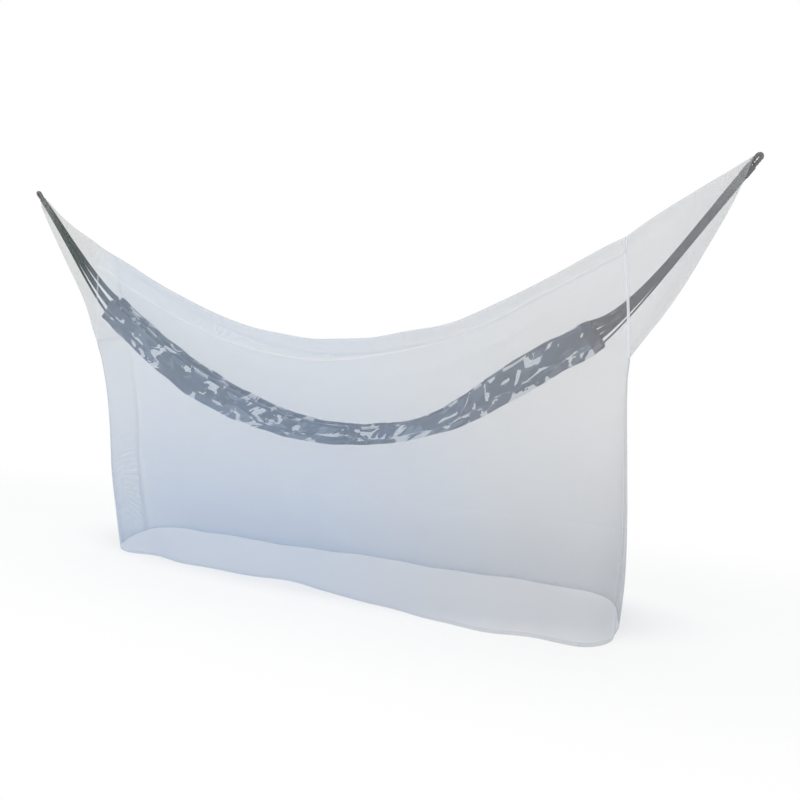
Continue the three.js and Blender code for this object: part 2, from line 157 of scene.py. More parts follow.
endRows = tableOf("height left right", [
    (0, 0.996, 1.02), (235, 1.004, 1.028), (443, 1.007, 1.029), (700, 0.993, 1.021), (900, 0.99, 1.013),
    (1060, 0.999, 1.009), (1170, 1.012, 1.013), (1411, 0.999, 0.999), (1652, 0.979, 0.979)])


def bodyX(station, height):
    left = readRows(endRows, "height", height, "left")
    return station * np.where(station < 0, left, readRows(endRows, "height", height, "right"))


def roofPoint(station, angle):
    ridge, half, drop = (readRows(ridgeRows, "station", station, c) for c in ("ridge", "half", "drop"))
    height = ridge - drop * (1 - np.cos(angle))
    return stack(bodyX(station, height), half * np.sin(angle), height)


def sideDepth(station, side, share):
    seam = np.abs(roofPoint(station, side * body["roofArc"])[..., 1])
    hem = readRows(hemRows, "station", station, "front" if side < 0 else "back")
    return lerp(hem, seam, np.asarray(share, float) ** body["flare"])


def cornerTurn(station, side, share):
    station, share = np.broadcast_arrays(np.asarray(station, float), np.asarray(share, float))
    along = np.clip((np.abs(station) - seamStation + body["cornerLength"]) / body["cornerLength"], 0, 1)
    end = np.sign(station) * body["half"]
    pull = np.where(station < 0, body["cornerPull"]["left"], body["cornerPull"]["right"])
    elbow = sideDepth(end, side, body["elbowShare"])
    seam = lerp(sideDepth(end, side, 0) - pull, elbow, share / body["elbowShare"])
    turn = (sideDepth(end, side, share) - seam) * (1 - np.sqrt(1 - along ** 2))
    return np.where(share > body["elbowShare"], 0, turn)


def sidePoint(station, side, share):
    height = roofPoint(station, side * body["roofArc"])[..., 2] * share
    depth = sideDepth(station, side, share) - cornerTurn(station, side, share)
    return stack(bodyX(station, height), side * depth, height)


# the eyes, and the sleeves that close round them
eyes = {  # the pinch is how far each leg of an eye is from the middle, where it is bound
    "left": {"end": -1, "x": -1757, "z": 1950, "rise": math.radians(55), "pinch": 5.2},
    "right": {"end": 1, "x": 1757, "z": 1931, "rise": math.radians(54), "pinch": 7.4},
}
rope = {
    "radius": 5, "legs": 10, "hole": 34, "whipping": 46, "cordPitch": 6.1,
    "strands": 3, "turns": 5, "spread": 4.2, "legSteps": 22, "bendSteps": 24,
}
sleeves = {  # the rows go from the body to the mouth
    "left": {
        "mouth": {"fromTip": 72, "rest": 19.2, "clear": 1, "lowX": 1738, "lowZ": 1875, "halfDepth": 18},
        "rows": [(1390, 1669, 1413, 1300, 0.86, 0.3), (1470, 1718, 1492, 1428, 0.7, 0.6),
                 (1550, 1772, 1566, 1545, 0.54, 0.85), (1630, 1831, 1640, 1680, 0.36, 1)],
    },
    "right": {
        "mouth": {"fromTip": 20, "rest": 15, "clear": 1, "lowX": 1690, "lowZ": 1795, "halfDepth": 30},
        "rows": [(1400, 1712, 1408, 1258, 0.86, 0.3), (1496, 1777, 1478, 1362, 0.7, 0.6),
                 (1584, 1835, 1548, 1488, 0.54, 0.85), (1664, 1883, 1616, 1632, 0.4, 1)],
    },
}
sleeveColumns = "topX topZ lowX lowZ share round"
bodyCorner, bodySeam = 0.09, 0.36  # shares of a sleeve's way round at the body's low corner and roof seam


def eyeLine(side):  # the eye's own directions, and its bend and joint as distances along them from the tip
    eye = eyes[side]
    outward = np.array([eye["end"] * math.cos(eye["rise"]), 0, math.sin(eye["rise"])])
    upward = np.array([-eye["end"] * math.sin(eye["rise"]), 0, math.cos(eye["rise"])])
    tip = np.array([eye["x"], 0, eye["z"]])
    bend = -rope["radius"] - rope["legs"]
    joint = bend - rope["hole"] - rope["whipping"] / 2

    def place(along, up):
        return tip + np.multiply.outer(along, outward) + np.multiply.outer(up, upward)

    return {"outward": outward, "bend": bend, "joint": joint, "place": place}


def bodyOutline(end, around):
    around = np.asarray(around, float)
    side = np.where(around < 0.5, -1.0, 1.0)
    way = 0.5 - np.abs(around - 0.5)
    station = end * body["half"]
    over = roofPoint(station, side * body["roofArc"] * (1 - (way - bodySeam) / (0.5 - bodySeam)))
    share = lerp(body["elbowShare"], 1, np.clip((way - bodyCorner) / (bodySeam - bodyCorner), 0, 1))
    front, back = sidePoint(station, -1, share), sidePoint(station, 1, share)
    below = np.where(side[..., None] < 0, front, back)
    y = np.where(way > bodySeam, over[..., 1], below[..., 1] * np.minimum(way / bodyCorner, 1))
    return y, np.where(way > bodySeam, over[..., 2], below[..., 2])


def sleevePoint(side, u, v):
    end, mouth = eyes[side]["end"], sleeves[side]["mouth"]
    ridge = roofPoint(end * body["half"], 0.0)[2]
    elbow = float(bodyOutline(end, 0.0)[1])
    widest = abs(float(bodyOutline(end, bodyCorner)[0]))

    def onBody(height):
        return np.abs(bodyX(end * body["half"], height)) + halfGap

    top = eyeLine(side)["place"](-mouth["fromTip"], mouth["rest"] + body["seamGap"] + mouth["clear"])
    first = (onBody(ridge), ridge, onBody(elbow), elbow, 1, 0)
    last = (abs(top[0]), top[2], mouth["lowX"], mouth["lowZ"], mouth["halfDepth"] / widest, 1)
    rows = [first, *sleeves[side]["rows"], last]
    table = tableOf("way " + sleeveColumns, [(i / (len(rows) - 1), *row) for i, row in enumerate(rows)])
    topX, topZ, lowX, lowZ, share, rounded = (readRows(table, "way", v, c) for c in sleeveColumns.split())
    bodyY, bodyZ = bodyOutline(end, u)
    bodyUp = (bodyZ - elbow) / (ridge - elbow)
    up = lerp(bodyUp, (1 - np.cos(2 * math.pi * u)) / 2, rounded)
    depth = lerp(bodyY, -widest * np.sin(2 * math.pi * u), rounded) * share
    toSeam = onBody(bodyZ) - lerp(onBody(elbow), onBody(ridge), bodyUp)
    return stack(end * (lerp(lowX, topX, up) + toSeam * (1 - v) ** 2), depth, lerp(lowZ, topZ, up))


# meshes
def toFrame(points):
    return np.asarray(points, float) * mm + np.array(middle)


def normalsOf(points, closed=False):
    padded = np.concatenate([points[-1:], points, points[:1]]) if closed else points
    normals = unit(np.cross(np.gradient(padded, axis=0), np.gradient(padded, axis=1)))
    return normals[1:-1] if closed else normals


def sheetFaces(count, rows, closed):  # the top, the underside and the rims; each corner is column, row, under
    edge, side = np.arange(count if closed else count - 1), np.arange(rows - 1)
    i, j = (grid.ravel() for grid in np.meshgrid(edge, side, indexing="ij"))
    low, high = np.zeros_like(edge), np.full_like(edge, rows - 1)
    first, last = np.zeros_like(side), np.full_like(side, count - 1)
    blocks = [
        [(i, j, 0), (i + 1, j, 0), (i + 1, j + 1, 0), (i, j + 1, 0)],
        [(i, j, 1), (i, j + 1, 1), (i + 1, j + 1, 1), (i + 1, j, 1)],
        [(edge, low, 1), (edge + 1, low, 1), (edge + 1, low, 0), (edge, low, 0)],
        [(edge, high, 0), (edge + 1, high, 0), (edge + 1, high, 1), (edge, high, 1)],
    ]
    if not closed:
        blocks.append([(first, side + 1, 1), (first, side, 1), (first, side, 0), (first, side + 1, 0)])
        blocks.append([(last, side, 1), (last, side + 1, 1), (last, side + 1, 0), (last, side, 0)])
    return blocks, 2 * len(i)


def sheetMesh(name, points, thickness, layers, closed=False, turn=0, hidden=0):
    # a closed sheet round a grid of points, with a cloth UV in metres and named values on its points
    count, rows = points.shape[:2]
    half = thickness / 2 if np.ndim(thickness) == 0 else np.asarray(thickness)[..., None] / 2
    lift = normalsOf(points, closed) * half
    wrap = np.concatenate([points, points[:1]]) if closed else points
    across = distances(wrap) + hidden  # cloth tucked out of sight before each point
    along = distances(wrap, 1)
    verts = np.concatenate([(points + lift).reshape(-1, 3), (points - lift).reshape(-1, 3)])
    blocks, smoothCount = sheetFaces(count, rows, closed)
    ids, uv = [], []
    for block in blocks:
        ids.append(np.stack([(a % count) * rows + b + under * count * rows for a, b, under in block], 1))
        uv.append(np.stack([np.stack([across[a, b], along[a, b]], -1) for a, b, _ in block], 1))
    ids, uv = np.concatenate(ids), np.concatenate(uv) * mm
    cos, sin = math.cos(math.radians(turn)), math.sin(math.radians(turn))
    uv = uv @ np.array([[cos, sin], [-sin, cos]])
    mesh = bpy.data.meshes.new(name)
    mesh.from_pydata(toFrame(verts).tolist(), [], ids.tolist())
    mesh.uv_layers.new(name="cloth").data.foreach_set("uv", uv.reshape(-1).astype(np.float32))
    mesh.polygons.foreach_set("use_smooth", np.arange(len(ids)) < smoothCount)
    for key, values in layers.items():
        values = np.tile(np.broadcast_to(values, (count, rows)).reshape(-1), 2)
        mesh.attributes.new(key, "FLOAT", "POINT").data.foreach_set("value", values.astype(np.float32))
    mesh.update()
    return addObject(name, mesh)


def finishPiece(obj, material, slot, *nodes):
    if material:
        obj.data.materials.clear()
        obj.data.materials.append(material)
    if nodes:
        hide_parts(*nodes)
    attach(obj, "root")
    return obj


# materials
def color(red, green, blue):  # display values 0 to 255 to linear ones
    def linear(c):
        c /= 255
        return c / 12.92 if c <= 0.04045 else ((c + 0.055) / 1.055) ** 2.4

    return (linear(red), linear(green), linear(blue), 1)


class Wire:
    def __init__(self, finish, socket):
        self.finish, self.socket = finish, socket

    def __add__(self, other):
        return self.finish.math("ADD", self, other)

    def __sub__(self, other):
        return self.finish.math("SUBTRACT", self, other)

    def __rsub__(self, other):
        return self.finish.math("SUBTRACT", other, self)

    def __mul__(self, other):
        return self.finish.math("MULTIPLY", self, other)

    __radd__ = __add__
    __rmul__ = __mul__


class Finish:
    def __init__(self, name, world=None):
        self.material = world or bpy.data.materials.new(name)
        self.material.use_nodes = True
        self.tree = self.material.node_tree
        self.tree.nodes.clear()

    def node(self, kind, settings=None, sockets=None, output=0):
        made = self.tree.nodes.new(kind)
        for key, value in (settings or {}).items():
            setattr(made, key, value)
        for key, value in (sockets or {}).items():
            if isinstance(value, Wire):
                self.tree.links.new(value.socket, made.inputs[key])
            else:
                made.inputs[key].default_value = value
        return Wire(self, made.outputs[output]) if made.outputs else made

    def math(self, operation, *values):
        return self.node("ShaderNodeMath", {"operation": operation}, dict(enumerate(values)))

    def attribute(self, name):
        return self.node("ShaderNodeAttribute", {"attribute_name": name}, output="Fac")

    def clothUV(self):
        return self.node("ShaderNodeUVMap", {"uv_map": "cloth"})

    def place(self):
        return self.node("ShaderNodeTexCoord", output="Object")

    def parts(self, vector):
        outputs = self.node("ShaderNodeSeparateXYZ", None, {0: vector}).socket.node.outputs
        return [Wire(self, out) for out in outputs]

    def stretched(self, vector, scale, offset):
        return self.node("ShaderNodeMapping", None, {"Vector": vector, "Scale": scale, "Location": offset})

    def noise(self, vector, scale, detail=2, roughness=0.5, distortion=0):
        return self.node("ShaderNodeTexNoise", None, {
            "Vector": vector, "Scale": scale,
            "Detail": detail, "Roughness": roughness, "Distortion": distortion})

    def step(self, value, low, high):
        return self.node("ShaderNodeMapRange", {"interpolation_type": "SMOOTHSTEP"}, {
            "Value": value, "From Min": low, "From Max": high})

    def blend(self, factor, first, second):  # 6 and 7 are the node's colour inputs, 2 its colour output
        return self.node("ShaderNodeMix", {"data_type": "RGBA"}, {0: factor, 6: first, 7: second}, 2)

    def seen(self):  # 1 for the rays that show the white surroundings
        rays = self.node("ShaderNodeLightPath").socket.node.outputs
        seen = [Wire(self, rays[f"Is {kind} Ray"]) for kind in ("Camera", "Glossy", "Transmission")]
        return seen[0] + seen[1] + seen[2]

    def bump(self, height, strength, distance):
        return self.node("ShaderNodeBump", None, {
            "Height": height, "Strength": strength, "Distance": distance})

    def close(self, **sockets):
        sockets = {key.replace("_", " "): value for key, value in sockets.items()}
        surface = self.node("ShaderNodeBsdfPrincipled", None, sockets)
        self.node("ShaderNodeOutputMaterial", None, {"Surface": surface})
        return self.material


netLook = {
    # painted light and shade, with the floor behind painted in: the net is lighter towards the top, darker
    # and bluer low down, and greyer to the right
    "low": color(150, 175, 207), "lowRight": color(157, 164, 175),
    "high": color(184, 197, 213), "highRight": color(199, 201, 203), "leftSleeve": color(146, 156, 154),
    "thread": color(232, 234, 238),
    "mesh": 2.1,  # millimetres from hole to hole
    "holes": (-1.25, -0.55), "threadShows": (0.05, 0.16), "hole": 0.06, "threadAlpha": 0.50,
    "hemAlpha": 0.05, "denserLow": 0.3, "leftThinner": 0.36,
    "threadShare": 0.3, "gatheredCalm": 0.85,  # gathered layers even the mesh out
    "cloud": (2.2, 3, 0.55), "cloudAcross": 0.6, "cloudUp": 0.3, "cloudFrom": 0.9, "cloudSize": 0.2,
}
netEdges = {  # where each change begins and ends, in metres from the middle or the floor
    "gathered": (1.42, 1.66), "right": (0.1, 1.6), "high": (0.15, 1.3), "leftSleeve": (1.25, 1.45),
    "seam": (4.5, 6.5), "hem": (19, 22),  # millimetres from the cloth's edge
}


def netFinish():
    finish = Finish("mosquitoNet")
    uv = finish.parts(finish.clothUV())
    x, _, z = finish.parts(finish.place())
    turns = 2 * math.pi / (netLook["mesh"] * mm)
    a = uv[0] * turns
    b = uv[0] * (-turns / 2) + uv[1] * (turns * math.sqrt(3) / 2)
    c = uv[0] * (-turns / 2) - uv[1] * (turns * math.sqrt(3) / 2)
    waves = finish.math("COSINE", a) + finish.math("COSINE", b) + finish.math("COSINE", c)
    thread = 1 - finish.step(waves, *netLook["holes"])
    calm = finish.step(finish.math("ABSOLUTE", x), *netEdges["gathered"]) * netLook["gatheredCalm"]
    thread = thread + (netLook["threadShare"] - thread) * calm
    seam = 1 - finish.step(finish.attribute("seamDistance"), *netEdges["seam"])
    seam = seam * finish.attribute("seamStrength")
    hem = 1 - finish.step(finish.attribute("hemDistance"), *netEdges["hem"])
    cloud = finish.noise(finish.place(), *netLook["cloud"])
    right = finish.step(x + cloud * netLook["cloudAcross"], *netEdges["right"])
    high = finish.step(z + cloud * netLook["cloudUp"], *netEdges["high"])
    leftSleeve = finish.step(x * -1, *netEdges["leftSleeve"])
    alpha = netLook["hole"] + thread * (netLook["threadAlpha"] - netLook["hole"])
    alpha = alpha * (netLook["cloudFrom"] + cloud * netLook["cloudSize"] + (1 - high) * netLook["denserLow"])
    alpha = alpha * (1 - leftSleeve * netLook["leftThinner"]) + hem * netLook["hemAlpha"] + seam
    # painted light and shade: the tint is lighter high up and darker and bluer low down, with the floor
    # behind painted in
    low = finish.blend(right, netLook["low"], netLook["lowRight"])
    tint = finish.blend(high, low, finish.blend(right, netLook["high"], netLook["highRight"]))
    tint = finish.blend(leftSleeve, tint, netLook["leftSleeve"])
    shade = finish.blend(finish.step(seam, *netLook["threadShows"]), tint, netLook["thread"])
    return finish.close(
        Base_Color=shade, Alpha=alpha, Roughness=0.72, Sheen_Weight=0.25, Sheen_Roughness=0.4,
        Normal=finish.bump(thread, strength=0.25, distance=0.0002))


cordLook = {
    "dark": color(40, 44, 47), "light": color(78, 81, 84), "bare": color(130, 129, 127),
    "leftDark": color(20, 26, 26), "leftLight": color(48, 55, 55),
    "grain": (55, 4, 0.6), "fibre": (900, 2, 0.6), "fibreShare": 0.35, "lightFrom": (0.4, 0.95),
    "left": (-0.5, 0.5), "bareFrom": (1.6, 1.72), "bareShare": 0.75,  # metres from the middle
}


def cordFinish():
    finish = Finish("clewCord")
    place = finish.place()
    x = finish.parts(place)[0]
    grain = finish.noise(place, *cordLook["grain"])
    fibre = finish.noise(place, *cordLook["fibre"])
    left = finish.step(x * -1, *cordLook["left"])
    dark = finish.blend(left, cordLook["dark"], cordLook["leftDark"])
    light = finish.blend(left, cordLook["light"], cordLook["leftLight"])
    mix = finish.step(grain + fibre * cordLook["fibreShare"], *cordLook["lightFrom"])
    bare = finish.step(finish.math("ABSOLUTE", x), *cordLook["bareFrom"]) * cordLook["bareShare"]
    shade = finish.blend(bare, finish.blend(mix, dark, light), cordLook["bare"])
    return finish.close(
        Base_Color=shade, Roughness=0.8 + fibre * 0.12,
        Normal=finish.bump(fibre, strength=0.5, distance=0.0006))


clothLook = {
    "slate": color(80, 92, 106), "blue": color(84, 98, 122), "mid": color(106, 119, 136),
    "light": color(126, 139, 156), "deep": color(44, 54, 72), "pale": color(226, 230, 234),
    # the last colour on the next line is painted light, a paler bluer tint where folds turn to the light
    "hem": color(52, 55, 73), "paintedLight": color(142, 157, 182),
    "turnedShare": 0.14, "deepFrom": (0.4, 1.05), "deepShare": 0.4, "strokeGate": 0.32,
    "hemWidth": (50, 55), "hemWander": 14, "hemShare": 0.8, "wander": (26, 2, 0.6),
    "weave": 1.1,  # millimetres from thread to thread
}
printEdges = {  # where each part of the print begins and is full, on its own noise
    "blue": (0.5, 0.52), "mid": (0.54, 0.55), "light": (0.6, 0.61), "pale": (0.58, 0.588),
    "stroke": (-0.184, -0.178),
}
printColumns = "stretchX stretchY placeX placeY scale detail roughness distortion"
printRows = {
    "blue": (1, 0.6, 0, 0, 5.5, 2, 0.55, 0.6),
    "mid": (1, 0.6, 3.1, 7.7, 8, 2, 0.5, 1),
    "light": (1, 0.7, 6.3, 1.7, 7, 2, 0.5, 1),
    "pale": (1, 0.85, 9.4, 2.3, 7.4, 3, 0.56, 1.5),
    "stroke": (1.2, 0.8, 5.2, 1.9, 8, 2, 0.45, 1.5),
    "gate": (1, 1, 1.3, 4.4, 8.5, 2, 0.5, 0),
}


def printNoise(finish, uv, name):
    row = dict(zip(printColumns.split(), printRows[name]))
    scale, offset = (row["stretchX"], row["stretchY"], 1), (row["placeX"], row["placeY"], 0)
    spot = finish.stretched(uv, scale, offset)
    return finish.noise(spot, row["scale"], row["detail"], row["roughness"], row["distortion"])


def clothFinish():
    finish = Finish("camouflageCloth")
    uv = finish.clothUV()
    shade = clothLook["slate"]
    for name in ("blue", "mid", "light"):
        mark = finish.step(printNoise(finish, uv, name), *printEdges[name])
        shade = finish.blend(mark, shade, clothLook[name])
    # painted light: folds turned to the light are painted paler and bluer
    shade = finish.blend(finish.attribute("turnedToLight") * clothLook["turnedShare"], shade, clothLook["paintedLight"])
    x = finish.parts(finish.place())[0]
    ends = finish.step(finish.math("ABSOLUTE", x), *clothLook["deepFrom"])
    shade = finish.blend(ends * clothLook["deepShare"], shade, clothLook["deep"])
    pale = finish.step(printNoise(finish, uv, "pale"), *printEdges["pale"])
    ridge = finish.math("ABSOLUTE", printNoise(finish, uv, "stroke") - 0.5)
    gate = printNoise(finish, uv, "gate") * clothLook["strokeGate"]
    stroke = 1 - finish.step(ridge - gate, *printEdges["stroke"])
    shade = finish.blend(finish.math("MAXIMUM", pale, stroke), shade, clothLook["pale"])
    wander = finish.noise(uv, *clothLook["wander"])
    hem = finish.attribute("endDistance") + wander * clothLook["hemWander"]
    hem = 1 - finish.step(hem, *clothLook["hemWidth"])
    shade = finish.blend(hem * clothLook["hemShare"], shade, clothLook["hem"])
    turns = 2 * math.pi / (clothLook["weave"] * mm)
    weave = [finish.math("COSINE", part * turns) for part in finish.parts(uv)[:2]]
    return finish.close(
        Base_Color=shade, Roughness=0.78 + wander * 0.15, Sheen_Weight=0.15,
        Normal=finish.bump(weave[0] + weave[1], strength=0.3, distance=0.0002))


netMaterial, cordMaterial, clothMaterial = netFinish(), cordFinish(), clothFinish()
print("materials made")

# the net's cloth, with soft folds
seams = {"sleeve": 0.62, "roof": 0.2, "plain": 0.06}  # how opaque the sewn edges are
grain = {"front": 0, "back": 30, "roof": 15, "end": 20}  # degrees that each panel's threads are turned
sides = {
    "columns": 230, "lowRows": 90, "highRows": 31, "cornerColumns": 26,
    "seamCalm": 60, "endCalm": 70, "hemReach": 700,  # how far from an edge its folds fade or reach
    "hem": {"long": 420, "tall": 2600, "size": 7, "seed": 11},
    "soft": {"long": 700, "tall": 520, "size": 3.5, "seed": 23},
}
swag = {  # one long soft fold below the roof seam
    "drop": 95, "wander": 40, "every": 700, "phase": 1, "width": 34, "size": 7,
    "even": 0.6, "uneven": 0.4, "long": 600, "seed": 5,
}


def sideCloth(station, share, side):
    points = sidePoint(station, side, share)
    height = points[..., 2]
    toSeam = roofPoint(station, side * body["roofArc"])[..., 2] - height
    toEnd = body["half"] - np.abs(station)
    calm = smooth(0, sides["seamCalm"], toSeam) * smooth(0, sides["endCalm"], toEnd)
    wave = waveOf(sides["hem"], station, height, side) * smooth(sides["hemReach"], 0, height)
    soft = waveOf(sides["soft"], station, height, side)
    line = toSeam - swag["drop"] - swag["wander"] * np.sin(station / swag["every"] + swag["phase"] + side)
    uneven = swag["even"] + swag["uneven"] * ripple(station / swag["long"], 0, swag["seed"] + side)
    fold = np.exp(-(line / swag["width"]) ** 2) * swag["size"] * uneven
    points = points + normalsOf(points) * ((wave + soft + fold) * calm)[..., None]
    points[..., 2] = np.maximum(points[..., 2], body["floorGap"])
    return points, toSeam, toEnd, height


def netPiece(name, node, points, toSeam, joint, toHem, turn=0, closed=False):
    layers = {"seamDistance": toSeam, "seamStrength": joint, "hemDistance": toHem}
    obj = sheetMesh(name, points, body["thickness"], layers, closed, turn)
    return finishPiece(obj, netMaterial, "net", node)


def panelStations():
    turn = 1 - np.sin(np.linspace(0, 1, sides["cornerColumns"]) * math.pi / 2)
    corner = body["half"] - body["cornerLength"] * turn
    inner = np.linspace(-1, 1, sides["columns"])[1:-1] * (body["half"] - body["cornerLength"])
    stations = np.clip(np.concatenate([-corner[::-1], inner, corner]), -seamStation, seamStation)
    return np.unique(np.round(stations, 4))


def sidePanel(name, side, node):
    limit = 1 - halfGap / body["seamHeight"]
    shares = np.unique(np.concatenate([
        np.linspace(0, body["elbowShare"], sides["lowRows"]),
        np.linspace(body["elbowShare"], limit, sides["highRows"])]))
    station, share = np.meshgrid(panelStations(), shares, indexing="ij")
    points, toSeam, toEnd, height = sideCloth(station, share, side)
    joint = np.where((toEnd < toSeam) & (share > body["elbowShare"]), seams["sleeve"], seams["plain"])
    joint = np.where(toSeam < toEnd, seams["roof"], joint) if side < 0 else seams["plain"]
    joint = np.where(station < 0, np.minimum(joint, seams["roof"]), joint)
    turn = grain["front" if side < 0 else "back"]
    return netPiece(name, node, points, np.minimum(toSeam, toEnd), joint, height, turn)


roof = {
    "rows": 41, "narrow": 70, "radius": 90,  # narrow gives the seam's gap, radius the distance from the seam
    "seamCalm": 25, "endCalm": 60, "wave": {"long": 500, "tall": 2.2, "size": 2.6, "seed": 41},
    "bright": (0.9, -0.6),  # the angles between which the sleeve's seam turns bright
    "toHem": 400.0,  # far from any hem
}


def roofStrip():
    edge = body["roofArc"] - math.asin(halfGap / roof["narrow"])
    stations = np.linspace(-1, 1, sides["columns"]) * seamStation
    station, angle = np.meshgrid(stations, np.linspace(-edge, edge, roof["rows"]), indexing="ij")
    points = roofPoint(station, angle)
    toSeam = (edge - np.abs(angle)) * roof["radius"]
    toEnd = body["half"] - np.abs(station)
    calm = smooth(0, roof["seamCalm"], toSeam) * smooth(0, roof["endCalm"], toEnd)
    points = points + normalsOf(points) * (waveOf(roof["wave"], station, angle) * calm)[..., None]
    joint = np.where(angle < 0, seams["roof"], seams["plain"])
    bright = seams["sleeve"] * smooth(*roof["bright"], angle)
    joint = np.where((toEnd < toSeam) & (station > 0), bright, joint)
    toSeam = np.minimum(toSeam, toEnd)
    return netPiece("netRoof", "net_roof_strip", points, toSeam, joint, roof["toHem"], grain["roof"])


endFolds = {
    "columns": 41, "rows": 110, "inset": (0.3, 1), "bowFade": 0.6, "seamCalm": 30, "topCalm": 60,
    "hemReach": 900, "wave": {"long": 160, "tall": 1500, "size": 5, "seed": 61},
}


def endCloth(u, v, end):
    station = np.full_like(u, end * body["half"])
    front, back = sidePoint(station, -1, v), sidePoint(station, 1, v)
    inset = body["seamGap"] + lerp(*endFolds["inset"], v / body["elbowShare"])
    y = lerp(front[..., 1] + inset, back[..., 1] - inset, u)
    fade = np.maximum(1 - v / body["elbowShare"], 0) ** endFolds["bowFade"]
    bow = body["endBow"] * np.sin(math.pi * u) * fade
    height = front[..., 2] - np.where(v >= body["elbowShare"], inset, 0)
    top = body["elbowShare"] * roofPoint(end * body["half"], -body["roofArc"])[2]
    toSeam = np.minimum(u, 1 - u) * np.abs(back[..., 1] - front[..., 1])
    calm = smooth(0, endFolds["seamCalm"], toSeam) * smooth(0, endFolds["topCalm"], top - height)
    wave = waveOf(endFolds["wave"], y, height, end) * smooth(endFolds["hemReach"], 0, height) * calm
    points = stack(front[..., 0] + end * (bow + wave), y, np.maximum(height, body["floorGap"]))
    return points, np.minimum(toSeam, top - height), height


def endPanel(name, side, node):
    across, up = np.linspace(0, 1, endFolds["columns"]), np.linspace(0, body["elbowShare"], endFolds["rows"])
    points, toSeam, height = endCloth(*np.meshgrid(across, up, indexing="ij"), eyes[side]["end"])
    return netPiece(name, node, points, toSeam, seams["plain"], height, grain["end"])


gathers = {
    "columns": 120, "rows": 72, "count": 11, "sway": 0.3, "swayTurns": 5, "size": 0.9,
    "from": (0.55, 1), "mouth": (1.0, 0.97), "softRound": 2, "softAlong": 1.5, "softSize": 2.2, "seed": 71,
    "bodyCalm": 50, "mouthCalm": (1.02, 0.9), "bright": (0.6, 0.4),
}


def sleeve(name, side, node):
    columns = gathers["columns"]
    u, v = np.meshgrid(np.arange(columns) / columns, np.linspace(0, 1, gathers["rows"]), indexing="ij")
    points = sleevePoint(side, u, v)
    length = np.linalg.norm(points[columns // 2, -1] - points[columns // 2, 0])
    toBody = v * length
    folds = np.sin(2 * math.pi * (u * gathers["count"] + gathers["sway"] * np.sin(v * gathers["swayTurns"])))
    folds = folds * smooth(*gathers["from"], v) * smooth(*gathers["mouth"], v)
    soft = ripple(u * gathers["softRound"], v * gathers["softAlong"], gathers["seed"] + eyes[side]["end"])
    move = folds * gathers["size"] + soft * gathers["softSize"]
    move = move * smooth(0, gathers["bodyCalm"], toBody) * smooth(*gathers["mouthCalm"], v)
    points = points + normalsOf(points, True) * move[..., None]
    joint = seams["plain"] if side == "left" else seams["sleeve"] * smooth(*gathers["bright"], u)
    return netPiece(name, node, points, toBody, joint, (1 - v) * length, closed=True)


netFront = sidePanel("netFront", -1, "net_front_panel")
netBack = sidePanel("netBack", 1, "net_back_panel")
netRoof = roofStrip()
netLeftEnd = endPanel("netLeftEnd", "left", "net_left_end_panel")
netRightEnd = endPanel("netRightEnd", "right", "net_right_end_panel")
netLeftSleeve = sleeve("netLeftSleeve", "left", "net_left_sleeve")
netRightSleeve = sleeve("netRightSleeve", "right", "net_right_sleeve")
print("net made")

# the gathered hammock: one cloth folded back and forth, which reaches down and up by turns
bedRows = tableOf("x z tall deep", [
    (-1302, 1335, 112, 0.84), (-1190, 1240, 124, 0.9), (-950, 1062, 138, 0.98), (-710, 921, 142, 1),
    (-470, 828, 126, 1), (-240, 766, 106, 1), (0, 741, 88, 1), (250, 757, 82, 0.96), (450, 802, 86, 0.92),
    (620, 881, 108, 0.96), (800, 996, 138, 1), (1000, 1126, 144, 1), (1218, 1262, 132, 0.9)])
foldRows = tableOf("y reach", [
    (-61, -50), (-50, 40), (-39, -43), (-28, 47), (-17, -49), (-6, 42),
    (6, -45), (17, 50), (28, -42), (39, 45), (50, -48), (61, 36)])
bed = {
    "given": 100,  # the height that the folds' reach is given for
    "beside": 2, "bend": 6, "thickness": 1.4, "length": 2950, "lengthSteps": 270, "acrossSteps": 5,
    "outer": (38, 58), "lobe": 52, "bulge": 9, "bulgeEven": 0.75, "bulgeUneven": 0.25,  # how outer folds puff
    "creaseHeight": -17, "creaseWander": 9, "creaseDepth": 6, "creaseSharp": 8,
    "tuck": 90, "tuckEdge": 3, "held": 120, "sway": 1.6, "uneven": 0.06,
    "endHeight": {"left": 1.16, "right": 0.95}, "endReach": 60, "slip": 4, "slipReach": 45,
    "hem": 1.6, "hemEdge": (48, 44),
}
pleats = {"pitch": 5.2, "sway": 1.3, "every": 60, "size": 2.2, "reach": (150, 20)}
# where the cloth turns to the light, below and above its crease, it is painted paler: painted light
shine = {"low": (100, -350), "high": (150, 550), "edge": 4}
bedWaves = {  # millimetres along the cloth, waves across it, seed
    "crease": (800, 3, 57), "bulge": (300, 1, 29), "sway": (190, 11, 91), "height": (260, 9, 83),
    "slip": (900, 7, 37),
}


def bedFrame(share):
    first, last = bedRows["x"][0], bedRows["x"][-1]
    x = lerp(first, last, np.asarray(share, float))
    near, far = np.maximum(x - bed["beside"], first), np.minimum(x + bed["beside"], last)
    rise = readRows(bedRows, "x", far, "z") - readRows(bedRows, "x", near, "z")
    along = unit(stack(far - near, 0, rise))
    up = stack(-along[..., 2], 0, along[..., 0])
    tall = readRows(bedRows, "x", x, "tall") / bed["given"]
    return x, readRows(bedRows, "x", x, "z"), along, up, tall, readRows(bedRows, "x", x, "deep")


def foldPath():
    path = []
    for i, (y, reach) in enumerate(zip(foldRows["y"], foldRows["reach"])):
        shoulder = reach - math.copysign(bed["bend"], reach)
        if i > 0:
            path.append(((foldRows["y"][i - 1] + y) / 2, shoulder))
        path.append((y, reach))
        if i < len(foldRows["y"]) - 1:
            path.append(((foldRows["y"][i + 1] + y) / 2, shoulder))
    return np.array(path)


